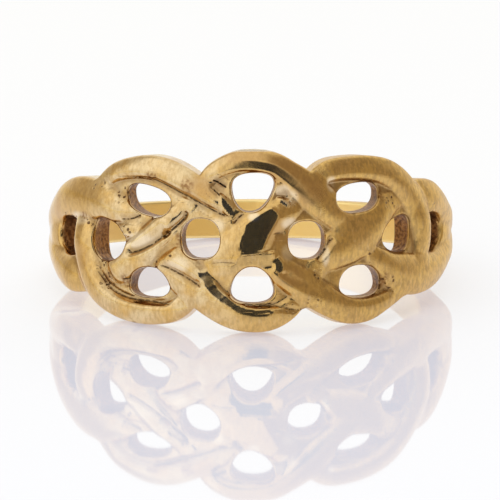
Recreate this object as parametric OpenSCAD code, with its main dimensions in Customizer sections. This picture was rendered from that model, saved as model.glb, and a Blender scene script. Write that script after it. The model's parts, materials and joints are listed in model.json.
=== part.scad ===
// A cast ring whose front is a pierced plait of three strands, drawn together into a narrow band.
// One strand is an endless loop. The other two run out of the band, through the plait and back.
// The ring lies on its side: +Z is up, the plait faces -Y, and the lowest points are at z = 0.

/* [Finger hole] */
// Inside diameter of the ring
bore_d = 17.3; // [15:0.1:21]

/* [Plait] */
// Height of the plait at its middle, along the finger
front_w = 9.3; // [8.4:0.1:10.4]
// Thickness of the wall, from the finger hole to the crest of a strand
wall = 1.7; // [1.6:0.05:2.1]
// Thickness of the low web between the strands
web_t = 1.0; // [0.8:0.05:1.2]
// How much thinner the wall is at the upper and lower edge of the plait, as a share
dome = 0.26; // [0:0.02:0.3]

/* [Band] */
// Width of the plain band at the back
band_w = 1.9; // [1.6:0.1:2.4]
// Thickness of the plain band at the back
band_t = 1.6; // [1.3:0.05:1.6]

/* [Smoothness] */
// Steps between two rows of a strand's table
steps = 3; // [2:1:3]

/* [Hidden] */
gold = [0.80, 0.62, 0.32];

bore_r = bore_d / 2;
outer_r = bore_r + wall;
web_r = bore_r + web_t;
band_crest_r = bore_r + band_t;

// Where a strand passes under another one, its crest stands this far above the web
sunk_rise = 0.08;
sunk_r = web_r + sunk_rise;
// The straight sides of a strand end this far below the web's surface
shoulder_drop = 0.25;
shoulder_r = web_r - shoulder_drop;
// The straight edges of the band end at this share of its thickness
band_edge_share = 0.4;
band_edge_r = bore_r + band_t * band_edge_share;
// How much a strand narrows from its side to its foot
foot_inset = 0.12;

// The strands' feet reach this far into the finger hole, until it is cut
foot_depth = 0.3;
core_r = bore_r - foot_depth;
// The rough finger hole leaves this much to be cut away, and its sides start a little turned
rough_left = 0.1;
rough_r = bore_r - rough_left;
rough_sides = 60;
rough_turn = 1.25;
// The cuts pass beyond the metal by this much
cut_over = 0.5;
bore_cut = 2 * front_w;

// The tables below are drawn for a plait of this height and a band of this width
drawn_front_w = 9.3;
drawn_band_w = 1.9;

// Columns of the strand tables: angle round the finger from the middle of the front, height along
// the finger, rise of the crest (1 on top, 0 passing under) and half of the strand's width
ANGLE = 0;
HEIGHT = 1;
RISE = 2;
HALF = 3;

// The endless strand, from the middle over the right, the left and back
loop_rows = [
    [ -8.0, -0.95, 0.95, 0.62],
    [ -2.0,  0.10, 1.00, 0.74],
    [  4.0,  1.05, 1.00, 0.76],
    [  9.5,  1.65, 0.85, 0.66],
    [ 14.5,  2.30, 0.15, 0.50],
    [ 19.0,  3.15, 0.35, 0.46],
    [ 24.0,  3.65, 0.90, 0.52],
    [ 31.0,  3.74, 1.00, 0.58],
    [ 38.5,  3.68, 1.00, 0.62],
    [ 45.5,  3.38, 1.00, 0.68],
    [ 51.5,  2.75, 1.00, 0.72],
    [ 56.5,  1.85, 1.00, 0.76],
    [ 59.5,  0.85, 1.00, 0.76],
    [ 60.5, -0.20, 0.80, 0.68],
    [ 59.0, -1.20, 0.20, 0.55],
    [ 55.0, -2.10, 0.00, 0.50],
    [ 49.5, -2.75, 0.20, 0.46],
    [ 44.5, -3.20, 0.85, 0.54],
    [ 38.0, -3.52, 1.00, 0.62],
    [ 31.0, -3.52, 1.00, 0.66],
    [ 25.0, -3.15, 1.00, 0.70],
    [ 19.0, -2.58, 1.00, 0.74],
    [ 13.0, -1.90, 1.00, 0.72],
    [  7.0, -1.15, 0.75, 0.62],
    [  1.0, -0.10, 0.00, 0.55],
    [ -5.0,  1.05, 0.60, 0.55],
    [-10.5,  1.95, 1.00, 0.66],
    [-17.0,  2.80, 1.00, 0.68],
    [-24.0,  3.46, 1.00, 0.64],
    [-31.0,  3.74, 1.00, 0.60],
    [-38.0,  3.66, 1.00, 0.56],
    [-44.5,  3.38, 0.85, 0.50],
    [-50.0,  2.80, 0.20, 0.46],
    [-55.0,  1.95, 0.00, 0.50],
    [-58.0,  1.00, 0.40, 0.64],
    [-59.3,  0.00, 1.00, 0.76],
    [-58.3, -1.05, 1.00, 0.78],
    [-54.5, -2.05, 1.00, 0.76],
    [-49.5, -2.80, 1.00, 0.70],
    [-43.5, -3.28, 1.00, 0.64],
    [-37.0, -3.56, 1.00, 0.60],
    [-30.0, -3.64, 1.00, 0.56],
    [-23.0, -3.42, 0.75, 0.52],
    [-17.5, -2.75, 0.10, 0.48],
    [-13.0, -1.85, 0.20, 0.50]
];

// The strand that leaves the band at the upper left and comes back to it at the upper right
upper_rows = [
    [-104,  0.30, 0.90, 0.50],
    [ -96,  0.50, 1.00, 0.62],
    [ -88,  0.80, 1.00, 0.66],
    [ -80,  1.26, 1.00, 0.74],
    [ -72,  1.75, 1.00, 0.88],
    [ -64,  2.05, 1.00, 0.98],
    [ -57,  2.10, 1.00, 1.00],
    [ -50,  2.02, 1.00, 0.96],
    [ -44,  1.72, 0.95, 0.78],
    [ -38,  1.42, 0.70, 0.52],
    [ -32,  0.80, 0.00, 0.46],
    [ -27, -0.35, 0.40, 0.56],
    [ -22, -1.25, 0.95, 0.80],
    [ -17, -2.02, 1.00, 0.92],
    [ -12, -2.85, 1.00, 0.86],
    [  -6, -3.55, 1.00, 0.74],
    [   0, -3.82, 1.00, 0.68],
    [   6, -3.78, 0.95, 0.62],
    [11.5, -3.35, 0.60, 0.52],
    [  16, -2.45, 0.00, 0.46],
    [19.5, -1.35, 0.20, 0.50],
    [  24, -0.45, 0.85, 0.66],
    [  30,  0.35, 1.00, 0.76],
    [  36,  1.08, 1.00, 0.74],
    [41.5,  1.62, 0.85, 0.62],
    [  48,  2.05, 0.20, 0.48],
    [  55,  2.30, 0.00, 0.50],
    [  61,  2.30, 0.60, 0.68],
    [  67,  2.05, 0.95, 0.80],
    [  74,  1.62, 1.00, 0.76],
    [  81,  1.18, 1.00, 0.70],
    [  88,  0.80, 1.00, 0.64],
    [  96,  0.50, 1.00, 0.60],
    [ 104,  0.30, 0.90, 0.50]
];

// The strand that leaves the band at the lower left and comes back to it at the lower right
lower_rows = [
    [-104, -0.30, 0.90, 0.50],
    [ -96, -0.50, 1.00, 0.62],
    [ -88, -0.80, 1.00, 0.66],
    [ -80, -1.26, 1.00, 0.74],
    [ -73, -1.72, 1.00, 0.82],
    [ -66, -2.00, 0.95, 0.84],
    [ -60, -2.15, 0.40, 0.64],
    [ -54, -2.05, 0.00, 0.50],
    [ -48, -1.75, 0.20, 0.50],
    [ -42, -1.30, 0.95, 0.66],
    [ -36, -0.60, 1.00, 0.74],
    [ -30,  0.22, 1.00, 0.76],
    [ -24,  1.05, 0.90, 0.66],
    [ -19,  1.80, 0.20, 0.48],
    [ -15,  2.75, 0.20, 0.44],
    [ -11,  3.60, 0.80, 0.46],
    [  -5,  4.08, 1.00, 0.52],
    [   1,  4.16, 1.00, 0.54],
    [   7,  3.98, 1.00, 0.60],
    [  12,  3.42, 1.00, 0.74],
    [  17,  2.70, 1.00, 0.90],
    [  22,  1.95, 1.00, 0.88],
    [  27,  1.15, 0.85, 0.70],
    [  32,  0.35, 0.10, 0.48],
    [  37, -0.50, 0.40, 0.42],
    [  42, -1.10, 0.90, 0.62],
    [  48, -1.68, 1.00, 0.92],
    [  55, -1.88, 1.00, 1.00],
    [  62, -1.88, 1.00, 0.94],
    [  69, -1.72, 1.00, 0.84],
    [  76, -1.38, 1.00, 0.74],
    [  82, -1.05, 1.00, 0.68],
    [  90, -0.70, 1.00, 0.64],
    [  97, -0.48, 1.00, 0.60],
    [ 104, -0.30, 0.90, 0.50]
];

// The plain band, from the right round the back of the finger to the left
band_rows = [
    [ 80,  0.00, 0.00, 0.30],
    [ 85,  0.00, 0.50, 0.70],
    [ 91,  0.00, 0.95, 1.15],
    [ 98,  0.00, 1.00, 1.22],
    [108,  0.00, 1.00, 1.10],
    [120,  0.00, 1.00, 0.98],
    [135,  0.00, 1.00, 0.95],
    [150,  0.00, 1.00, 0.95],
    [165,  0.00, 1.00, 0.95],
    [180,  0.00, 1.00, 0.95],
    [195,  0.00, 1.00, 0.95],
    [210,  0.00, 1.00, 0.95],
    [225,  0.00, 1.00, 0.95],
    [240,  0.00, 1.00, 0.98],
    [252,  0.00, 1.00, 1.10],
    [262,  0.00, 1.00, 1.22],
    [269,  0.00, 0.95, 1.15],
    [275,  0.00, 0.50, 0.70],
    [280,  0.00, 0.00, 0.30]
];

// Columns of the table of piercings: angle and height of the middle, half of the length in degrees,
// half of the height, growth of the height towards larger angles, growth of the length upwards,
// and climb of the middle line towards larger angles
HALF_ANGLE = 2;
HALF_HEIGHT = 3;
TAPER = 4;
FLARE = 5;
CLIMB = 6;
hole_rows = [
    [-32.7,  2.18, 8.2, 0.84,  0.00,  0.15, -0.25],
    [  0.5,  2.62, 6.8, 1.05,  0.00,  0.25,  0.00],
    [ 33.8,  2.26, 8.4, 0.78,  0.00,  0.05,  0.10],
    [-15.2,  0.22, 6.5, 1.04,  0.00,  0.00,  0.00],
    [ 16.4,  0.20, 6.5, 1.04,  0.00,  0.00,  0.00],
    [-32.2, -2.00, 7.4, 0.80,  0.00, -0.15,  0.00],
    [  0.5, -2.10, 6.6, 0.92,  0.00, -0.25,  0.00],
    [ 34.2, -2.00, 7.6, 0.82,  0.00, -0.15,  0.00],
    [-48.0,  0.05, 7.0, 1.00, -0.25,  0.00,  0.20],
    [ 49.0,  0.25, 7.0, 0.90,  0.25,  0.00,  0.10],
    [-71.0,  0.02, 8.8, 0.78,  0.45,  0.00,  0.00],
    [ 71.4,  0.05, 8.4, 0.74, -0.45,  0.00,  0.00]
];

// Columns of the table of the low web: angle and half of its height, the same on the left and right
REACH = 1;
web_rows = [
    [ 0, 3.75],
    [ 9, 3.70],
    [17, 3.30],
    [25, 3.55],
    [33, 3.65],
    [40, 3.55],
    [46, 3.15],
    [52, 2.65],
    [60, 2.20],
    [70, 1.85],
    [80, 1.20],
    [88, 0.80]
];

// A table at the size that is asked for: the plait by its height and the band by its width
function sized(rows, k) = [for (r = rows) [r[ANGLE], r[HEIGHT] * k, r[RISE], r[HALF] * k]];
plait_k = front_w / drawn_front_w;
band_k = band_w / drawn_band_w;

// Points of a smooth curve through the rows
function between(a, b, c, d, t) =
    0.5 * (2 * b + (c - a) * t + (2 * a - 5 * b + 4 * c - d) * t * t + (3 * b - a - 3 * c + d) * t * t * t);
function near(rows, i, closed) =
    closed ? rows[(i + len(rows)) % len(rows)] : rows[max(0, min(len(rows) - 1, i))];
function smooth(rows, closed) = [
    for (i = [0 : len(rows) - (closed ? 1 : 2)])
        for (s = [0 : steps - 1])
            between(near(rows, i - 1, closed), near(rows, i, closed),
                near(rows, i + 1, closed), near(rows, i + 2, closed), s / steps),
    if (!closed) rows[len(rows) - 1]
];

// Place of a point that is given by its angle, its height and its distance from the finger's axis
function place(angle, height, r) = [r * sin(angle), -r * cos(angle), height];

// Direction across the strand at point i, in degrees round the finger and millimetres along it
mm_per_degree = PI * outer_r / 180;
function across(line, i, closed) =
    let (
        a = near(line, i - 1, closed),
        b = near(line, i + 1, closed),
        run = (b[ANGLE] - a[ANGLE]) * mm_per_degree,
        climb = b[HEIGHT] - a[HEIGHT],
        reach = norm([run, climb])
    )
    [-climb / reach / mm_per_degree, run / reach];

// Outline across a strand: its foot, its straight sides and its rounded crest
crest_turn = 36;
crest_power = 0.75;
function outline(half, crest_r, shoulder_r, foot_r) = [
    [-half + foot_inset, foot_r],
    for (turn = [180 : -crest_turn : 0])
        [half * cos(turn), shoulder_r + (crest_r - shoulder_r) * pow(sin(turn), crest_power)],
    [half - foot_inset, foot_r]
];

// The wall is domed: full in the middle of the plait and thinner towards its two edges
function domed(r, height) = r < bore_r ? r : bore_r + (r - bore_r) * (1 - dome * pow(2 * height / front_w, 2));

// One ring of points round a strand at point i of its line, with its foot at foot_r from the axis
function strand_section(line, i, closed, foot_r) =
    let (
        p = line[i],
        side = across(line, i, closed),
        crest_r = sunk_r + (outer_r - sunk_r) * max(0, min(1, p[RISE]))
    )
    [for (o = outline(p[HALF], crest_r, shoulder_r, foot_r))
        let (height = p[HEIGHT] + side[1] * o[0])
        place(p[ANGLE] + side[0] * o[0], height, domed(o[1], height))];

// One ring of points round the plain band
function band_section(line, i, foot_r) =
    let (
        p = line[i],
        crest_r = band_edge_r + (band_crest_r - band_edge_r) * max(0, min(1, p[RISE]))
    )
    [for (o = outline(p[HALF], crest_r, band_edge_r, foot_r)) place(p[ANGLE], p[HEIGHT] + o[0], o[1])];

// A solid through rings of points
module skin(rings, closed) {
    sides = len(rings[0]);
    last = len(rings) - 1;
    walls = [
        for (i = [0 : closed ? last : last - 1])
            for (j = [0 : sides - 1])
                let (
                    a = i * sides + j,
                    b = i * sides + (j + 1) % sides,
                    c = ((i + 1) % len(rings)) * sides + (j + 1) % sides,
                    d = ((i + 1) % len(rings)) * sides + j
                )
                each [[a, b, c], [a, c, d]]
    ];
    ends = closed ? [] : [
        [for (j = [sides - 1 : -1 : 0]) j],
        [for (j = [0 : sides - 1]) last * sides + j]
    ];
    polyhedron(points = [for (r = rings) each r], faces = concat(walls, ends), convexity = 10);
}

// Sections of every piece of the ring, with their feet at a given distance from the finger's axis
function strand_sections(rows, closed, foot_r) =
    let (line = smooth(sized(rows, plait_k), closed))
    [for (i = [0 : len(line) - 1]) strand_section(line, i, closed, foot_r)];
function band_sections(foot_r) =
    let (line = smooth(sized(band_rows, band_k), false))
    [for (i = [0 : len(line) - 1]) band_section(line, i, foot_r)];

module strands() {
    skin(strand_sections(loop_rows, true, core_r), true);
    skin(strand_sections(upper_rows, false, core_r), false);
    skin(strand_sections(lower_rows, false, core_r), false);
}

// The low web: one curved plate under all the strands
module web() {
    rows = concat([for (i = [len(web_rows) - 1 : -1 : 1]) [-web_rows[i][ANGLE], web_rows[i][REACH]]], web_rows);
    line = smooth(rows, false);
    skin([
        for (p = line)
            let (h = p[REACH] * plait_k)
            [
                place(p[ANGLE], -h, core_r),
                place(p[ANGLE], -h, web_r),
                place(p[ANGLE], h, web_r),
                place(p[ANGLE], h, core_r)
            ]
    ], false);
}

// One piercing, straight through the wall towards the finger's axis
hole_turn = 18;
hole_power = 0.85;
module piercing(row) {
    turns = [for (turn = [0 : hole_turn : 359]) turn];
    skin([
        for (r = [outer_r + cut_over, core_r - cut_over])
            [
                for (turn = turns)
                    let (
                        x = sign(cos(turn)) * pow(abs(cos(turn)), hole_power),
                        y = sign(sin(turn)) * pow(abs(sin(turn)), hole_power)
                    )
                    place(
                        row[ANGLE] + row[HALF_ANGLE] * x * (1 + row[FLARE] * y),
                        plait_k * (row[HEIGHT] + row[HALF_HEIGHT] * y * (1 + row[TAPER] * x) + row[CLIMB] * x),
                        r
                    )
            ]
    ], false);
}

module band() {
    skin(band_sections(core_r), false);
}

// Rest on the side: the lowest lobe of the plait and the back of the band touch the floor together.
// Both are measured along the finger, from the middle of the ring to the lower edge.
lobe_reach = 4.5;
edge_reach = 0.95;
front_reach = lobe_reach * plait_k;
back_reach = edge_reach * band_k;
rest_tilt = atan2(front_reach - back_reach, bore_r + band_edge_r);
function tilted(p) = [
    p[0],
    p[1] * cos(rest_tilt) + p[2] * sin(rest_tilt),
    p[2] * cos(rest_tilt) - p[1] * sin(rest_tilt)
];
skin_points = [
    for (sections = [
        strand_sections(loop_rows, true, bore_r),
        strand_sections(upper_rows, false, bore_r),
        strand_sections(lower_rows, false, bore_r),
        band_sections(bore_r)
    ])
        for (section = sections)
            for (p = section)
                tilted(p)
];
floor_z = min([for (p = skin_points) p[2]]);
front_y = min([for (p = skin_points) p[1]]);
back_y = max([for (p = skin_points) p[1]]);

// The casting, at its full width across and with a rough finger hole
module casting() {
    resize([2 * outer_r, 0, 0])
        difference() {
            union() {
                strands();
                web();
                band();
            }
            for (row = hole_rows)
                piercing(row);
            rotate([0, 0, rough_turn])
                cylinder(r = rough_r, h = bore_cut, center = true, $fn = rough_sides);
        }
}

module ring() color(gold)
    translate([0, -(front_y + back_y) / 2, -floor_z])
        rotate([-rest_tilt, 0, 0])
            difference() {
                casting();
                cylinder(r = bore_r, h = bore_cut, center = true, $fn = 180);
            }

ring();
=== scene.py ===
import bpy
import numpy as np
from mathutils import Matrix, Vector
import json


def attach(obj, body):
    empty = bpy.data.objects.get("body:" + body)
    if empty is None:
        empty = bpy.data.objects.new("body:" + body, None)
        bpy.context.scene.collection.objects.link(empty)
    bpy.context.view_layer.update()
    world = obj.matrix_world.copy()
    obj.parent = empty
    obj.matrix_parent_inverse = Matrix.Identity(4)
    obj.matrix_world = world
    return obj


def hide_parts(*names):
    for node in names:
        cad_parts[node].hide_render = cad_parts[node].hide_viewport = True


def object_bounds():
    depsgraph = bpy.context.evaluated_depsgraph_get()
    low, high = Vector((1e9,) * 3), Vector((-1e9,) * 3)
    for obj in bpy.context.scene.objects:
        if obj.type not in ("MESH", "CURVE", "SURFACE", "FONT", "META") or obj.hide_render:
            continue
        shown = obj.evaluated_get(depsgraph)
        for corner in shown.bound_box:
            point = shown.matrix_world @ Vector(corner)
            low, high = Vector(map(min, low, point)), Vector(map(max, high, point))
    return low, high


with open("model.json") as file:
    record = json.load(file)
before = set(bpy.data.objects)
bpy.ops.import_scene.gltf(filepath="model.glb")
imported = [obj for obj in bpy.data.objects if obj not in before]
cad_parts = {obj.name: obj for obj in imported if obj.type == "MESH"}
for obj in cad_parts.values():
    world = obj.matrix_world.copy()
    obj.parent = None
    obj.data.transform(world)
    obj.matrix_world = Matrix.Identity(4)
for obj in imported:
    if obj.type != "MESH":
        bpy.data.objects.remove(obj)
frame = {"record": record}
cad_box = [list(corner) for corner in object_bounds()]

# Lengths are in millimetres while the ring is shaped, and in metres in Blender
MM = 0.001

# The finger hole says where the ring is and how it leans
hole = frame["record"]["mounts"][0]
BORE_R = hole["dims"]["r_mm"]
CENTRE = np.array(hole["pos_m"]) / MM
AXIS = np.array(hole["axis"])
OUTER_R = (cad_box[1][0] - cad_box[0][0]) / 2 / MM

# Radii of the low web, of a strand where it passes under, of the foot of a strand's sides, of the
# solid ends of the plait, and of the band at its crest and at its edges
WEB_R = BORE_R + 1.29
SUNK_R = WEB_R - 0.04
SHOULDER_R = WEB_R - 0.12
END_R = BORE_R + 1.62
BAND_CREST_R = BORE_R + 1.6
BAND_EDGE_R = BORE_R + 0.64

# Half of the height of the plait's solid ends, and the angles over which they rise from the web
END_HALF = 1.5
END_TURN = (70, 82)

# How much thinner the wall is at the plait's edges, as a share, and the plait's height
DOME = 0.26
FRONT_W = 9.3

# How full a strand's rounding is, how much wider its sides run than its tables say, and how softly
# strands meet: crisply up to the first angle and softly from the second one
CREST_POWER = 0.5
STRAND_SPREAD = 1.12
CRISP_MEET = 0.20
SOFT_MEET = 0.36
MEET_TURN = (5, 30)

# Rounding between parts of the outline, of the outer edges, of the edges of the piercings and of
# the edges of the finger hole, and a last softening of the whole wall
OUTLINE_MEET = 0.05
EDGE_ROUND = 0.13
GAP_ROUND = 0.08
INNER_ROUND = 0.16
SOFTENING = 0.045

# Points of a smooth curve between two rows of its table, and a distance beyond any on the ring
CURVE_STEPS = 6
FAR = 9.0

# Columns of the strand tables: angle round the finger from the middle of the front, height along
# the finger, rise of the crest (1 on top, 0 passing under), half of the strand's width, and how far
# the crest lies to the left of the middle, as a share of that half
ANGLE, HEIGHT, RISE, HALF, LEAN = range(5)

LOOP_ROWS = [
    (-8, -0.95, 0.95, 0.96, 0),
    (-2, 0.1, 1, 0.92, 0),
    (4, 1.05, 1, 0.76, 0.3),
    (9.5, 1.65, 0.85, 0.66, 0.2),
    (14.5, 2.3, 0.15, 0.5, 0),
    (19, 3.15, 0.35, 0.46, 0),
    (24, 3.62, 0.9, 0.54, -0.3),
    (31, 3.74, 1, 0.58, -0.35),
    (38.5, 3.68, 1, 0.62, -0.3),
    (45.5, 3.38, 1, 0.68, -0.2),
    (51.5, 2.75, 1, 0.72, -0.1),
    (56.5, 1.85, 1, 0.76, 0),
    (59.5, 0.85, 1, 0.76, 0),
    (60.5, -0.2, 0.8, 0.68, 0),
    (59, -1.2, 0.2, 0.55, 0),
    (55, -2.1, 0, 0.5, 0),
    (49.5, -2.7, 0.2, 0.42, 0),
    (44, -3.08, 0.85, 0.48, -0.2),
    (37.5, -3.46, 1, 0.6, -0.3),
    (31, -3.5, 1, 0.66, -0.3),
    (25, -3.15, 1, 0.7, -0.1),
    (19, -2.58, 1, 0.74, 0.2),
    (13, -1.9, 1, 0.72, 0.3),
    (7, -1.15, 0.85, 0.64, 0.3),
    (1, -0.1, 0, 0.55, 0),
    (-5.5, 1.42, 0.5, 0.42, 0),
    (-10.5, 2.12, 1, 0.54, 0.1),
    (-17, 2.88, 1, 0.62, 0.2),
    (-24, 3.48, 1, 0.64, 0.3),
    (-31, 3.76, 1, 0.6, 0.35),
    (-38, 3.7, 1, 0.54, 0.3),
    (-44.5, 3.42, 0.85, 0.48, 0.2),
    (-50, 2.8, 0.2, 0.46, 0),
    (-55, 1.95, 0, 0.5, 0),
    (-57.4, 1, 0.5, 0.66, 0),
    (-57.4, 0, 1, 0.82, 0),
    (-56.6, -1.05, 1, 0.84, 0),
    (-54, -2.05, 1, 0.8, 0.1),
    (-49.5, -2.8, 1, 0.7, 0.2),
    (-43.5, -3.28, 1, 0.64, 0.3),
    (-37, -3.56, 1, 0.6, 0.35),
    (-30, -3.64, 1, 0.56, 0.35),
    (-23, -3.45, 0.85, 0.52, 0.2),
    (-17.5, -2.75, 0.1, 0.48, 0),
    (-13, -1.85, 0.2, 0.5, 0),
]
UPPER_ROWS = [
    (-104, 0.3, 0.9, 0.5, 0),
    (-96, 0.5, 1, 0.62, 0),
    (-88, 0.8, 1, 0.66, 0),
    (-80, 1.26, 1, 0.74, 0),
    (-72, 1.75, 1, 0.88, 0),
    (-64, 2.05, 1, 0.98, 0),
    (-57, 2.1, 1, 1, 0),
    (-50, 2, 1, 0.92, 0),
    (-44, 1.7, 0.95, 0.72, 0),
    (-38, 1.42, 0.8, 0.5, 0),
    (-33, 1.1, 0.1, 0.44, 0),
    (-28, -0.28, 0, 0.5, 0),
    (-26.4, -0.6, 0.1, 0.58, 0),
    (-25.2, -0.84, 0.9, 0.74, 0),
    (-23.8, -1.02, 1, 0.84, 0.1),
    (-21.2, -1.38, 1, 0.92, 0.2),
    (-17, -2.02, 1, 0.96, 0.3),
    (-12, -2.85, 1, 0.86, 0.4),
    (-6, -3.55, 1, 0.74, 0.45),
    (0, -3.82, 1, 0.68, 0.5),
    (6, -3.78, 0.95, 0.62, 0.45),
    (11.5, -3.35, 0.6, 0.52, 0.2),
    (16, -2.45, 0, 0.46, 0),
    (20, -1.2, 0.2, 0.5, 0),
    (24.5, -0.5, 0.9, 0.84, 0),
    (31, 0.12, 1, 1.02, 0),
    (37, 0.84, 1, 1, 0),
    (42, 1.5, 0.85, 0.74, 0),
    (48, 2.05, 0.2, 0.48, 0),
    (55, 2.3, 0, 0.5, 0),
    (61, 2.3, 0.6, 0.68, 0),
    (67, 2.05, 0.95, 0.8, 0),
    (74, 1.62, 1, 0.76, 0),
    (81, 1.18, 1, 0.7, 0),
    (88, 0.8, 1, 0.64, 0),
    (96, 0.5, 1, 0.6, 0),
    (104, 0.3, 0.9, 0.5, 0),
]
LOWER_ROWS = [
    (-104, -0.3, 0.9, 0.5, 0),
    (-96, -0.5, 1, 0.62, 0),
    (-88, -0.8, 1, 0.66, 0),
    (-80, -1.26, 1, 0.74, 0),
    (-73, -1.72, 1, 0.82, 0),
    (-66, -2, 0.95, 0.84, 0),
    (-60, -2.15, 0.4, 0.64, 0),
    (-54, -2.05, 0, 0.5, 0),
    (-48, -1.8, 0, 0.46, 0),
    (-45.2, -1.66, 0.35, 0.52, 0),
    (-43, -1.46, 1, 0.72, 0),
    (-40.5, -1.24, 1, 0.8, 0),
    (-36, -0.8, 1, 0.84, 0.1),
    (-30, 0.14, 1, 0.74, 0.2),
    (-24.5, 1.05, 0.95, 0.62, 0.1),
    (-20.5, 1.6, 0.4, 0.46, 0),
    (-15, 2.75, 0.2, 0.44, 0),
    (-11, 3.6, 0.8, 0.46, -0.2),
    (-5, 4.08, 1, 0.52, -0.4),
    (1, 4.16, 1, 0.54, -0.5),
    (7, 3.98, 1, 0.6, -0.45),
    (12, 3.42, 1, 0.7, -0.2),
    (17, 2.76, 1, 0.82, 0),
    (22, 2, 1, 0.8, 0),
    (27, 1.2, 0.9, 0.66, 0),
    (32, 0.35, 0.1, 0.48, 0),
    (37, -0.5, 0.4, 0.42, 0),
    (42, -1.1, 0.9, 0.62, 0),
    (48, -1.68, 1, 0.92, 0),
    (55, -1.88, 1, 1, 0),
    (62, -1.88, 1, 0.94, 0),
    (69, -1.72, 1, 0.84, 0),
    (76, -1.38, 1, 0.74, 0),
    (82, -1.05, 1, 0.68, 0),
    (90, -0.7, 1, 0.64, 0),
    (97, -0.48, 1, 0.6, 0),
    (104, -0.3, 0.9, 0.5, 0),
]

# Columns of the table of piercings: angle and height of the middle, half of the length in degrees,
# half of the height, growth of the height towards larger angles, growth of the length upwards, climb
# of the middle line towards larger angles, and shift towards larger angles upwards
HOLE_ROWS = [
    (-30.9, 2.08, 7.2, 0.75, 0, 0.1, -0.25, 0),
    (0.5, 2.56, 5.9, 0.98, 0, 0.28, 0, 0.12),
    (32.5, 2.22, 7.2, 0.74, 0, 0.05, 0.1, 0),
    (-14.5, 0.22, 5.8, 1.02, 0, 0, 0, 0),
    (16.3, 0.14, 5.5, 0.96, 0, 0, 0, 0),
    (-30.8, -2.06, 6.5, 0.77, 0, -0.2, 0, 0),
    (0.5, -2.1, 6, 0.92, 0, -0.3, 0, 0),
    (33.4, -2, 6.8, 0.8, 0, -0.15, 0, 0),
    (-45.3, -0.03, 6.5, 1.04, -0.25, 0, -0.12, 0),
    (47.3, 0.25, 6, 0.9, 0.25, 0, 0.1, 0),
    (-68, 0.04, 7.5, 0.98, 0.12, 0, 0, 0),
    (69.4, 0.22, 6.4, 0.95, -0.25, 0, 0, 0),
]
HOLE_SQUARENESS = 2.35

# The piercings run nearly straight back, not to the middle of the finger hole: the radius at which
# the table holds, how straight they are on the left and on the right as a share, the angles where
# each side starts, the angles over which that fades, and the angle beyond which it is over
DRILL_R = OUTER_R - 0.15
DRILL_SHARE = (0.45, 0.60)
DRILL_SIDES = (-10, 10)
DRILL_FADE = (50, 66)
DRILL_END = 70

# The low web: angle and half of its height
WEB_ROWS = [(0, 3.75), (9, 3.7), (17, 3.3), (25, 3.55), (33, 3.65), (40, 3.55), (46, 3.15), (52, 2.65),
            (60, 2.2), (70, 1.85), (80, 1.2), (88, 0.8)]

# The plain band from its start to the back, alike on both sides: angle, rise and half of the width.
# Then where its form starts, how softly it meets the plait, where it takes over, how far the back is
# lifted, and where that begins and is complete.
BAND_ROWS = [(80, 0, 0.3), (85, 0.5, 0.7), (91, 0.95, 1.15), (98, 1, 1.22), (108, 1, 1.1),
             (120, 1, 0.98), (135, 1, 0.99), (180, 1, 1.01)]
BAND_START = 88
BAND_MEET = 0.06
BAND_BLEND = (90, 112)
BAND_LIFT = 0.06
BAND_LIFT_TURN = (110, 150)

# Flanks worn flat, which mirror the dark opening in front: the way they face, as degrees round the
# finger and up along it, half of the width at the start and at the end, width of the turn to the
# wall round it, how deep they are cut, share of the length over which they start and end, and the
# points (angle, height) they run through
FLANK_ROWS = [
    (9.5, -1.5, (0.3, 0.08), 0.08, 0.02, 0.05,
     [(-14.3, -1.46), (-12.2, -1.86), (-9.6, -2.46), (-6.1, -2.94), (-2.7, -3.28), (1.6, -3.42),
      (6.5, -3.34)]),
    (4.7, 3.5, (0.12, 0.12), 0.24, 0.02, 0.24,
     [(-8, 3.86), (-2, 3.98), (3, 3.96), (8, 3.7), (12, 3.2), (17, 2.45)]),
]

# Plane facets: the way each faces, its level under the crest of a strand, a point (angle, height) on
# it, and its corners (angle, height), clockwise, each with the width of the turn beyond the side that
# starts there. The first two look down and mirror the floor, the others mirror the dark opening. All
# lie within FACET_REACH degrees of the middle.
FACET_ROWS = [
    (4.5, -14, 0.115, (1.5, -0.8),
     [(-4.2, -1.1, 0.3), (-2.4, -0.48, 0.12), (6.2, -0.46, 0.3), (6.2, -1.15, 0.3)]),
    (13, -14, 0.43, (8.8, 2.6),
     [(6.6, 3.05, 0.15), (9, 3, 0.15), (11, 2.35, 0.2), (8, 2.3, 0.15)]),
    (2.8, 1, 0.07, (2.6, 0.8),
     [(-2.5, -0.42, 0.03), (-1.8, 0.96, 0.06), (4.1, 1.68, 0.06), (6, 1.86, 0.1), (7.6, 1.55, 0.5),
      (2.9, -0.36, 0.06)]),
    (3, 2, 0.17, (-6.8, 1.85),
     [(-8.7, 2.5, 0.05), (-6.7, 2.28, 0.05), (-4.9, 1.82, 0.05), (-4.6, 1.42, 0.05), (-5.8, 1.32, 0.05),
      (-7.3, 1.56, 0.05), (-8.4, 2.01, 0.05)]),
    (3.2, 2, 0.12, (8.2, -1.05),
     [(6.2, -0.77, 0.05), (8.2, -0.64, 0.05), (9.6, -0.95, 0.05), (9.6, -1.39, 0.05), (7.4, -1.46, 0.05)]),
    (3.2, 2, 0.2, (9.5, 2.05),
     [(7.8, 2.29, 0.05), (9.3, 2.28, 0.05), (11.3, 1.98, 0.05), (10.9, 1.78, 0.05), (8.7, 1.96, 0.05)]),
]
FACET_REACH = 30

# A table of oval places holds angle and height of the middle, half of the length and half of the
# height in mm. Each place is full up to the first share of its size and fades out to the second.
SPOT_FADE = (0.5, 1.2)

# Oval places where the web between the strands is filled up, and by how much
FILL_ROWS = [(-1, 0.3, 2.3, 3.9), (-37.5, 0.55, 1, 0.4)]
FILL = 0.20

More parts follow.
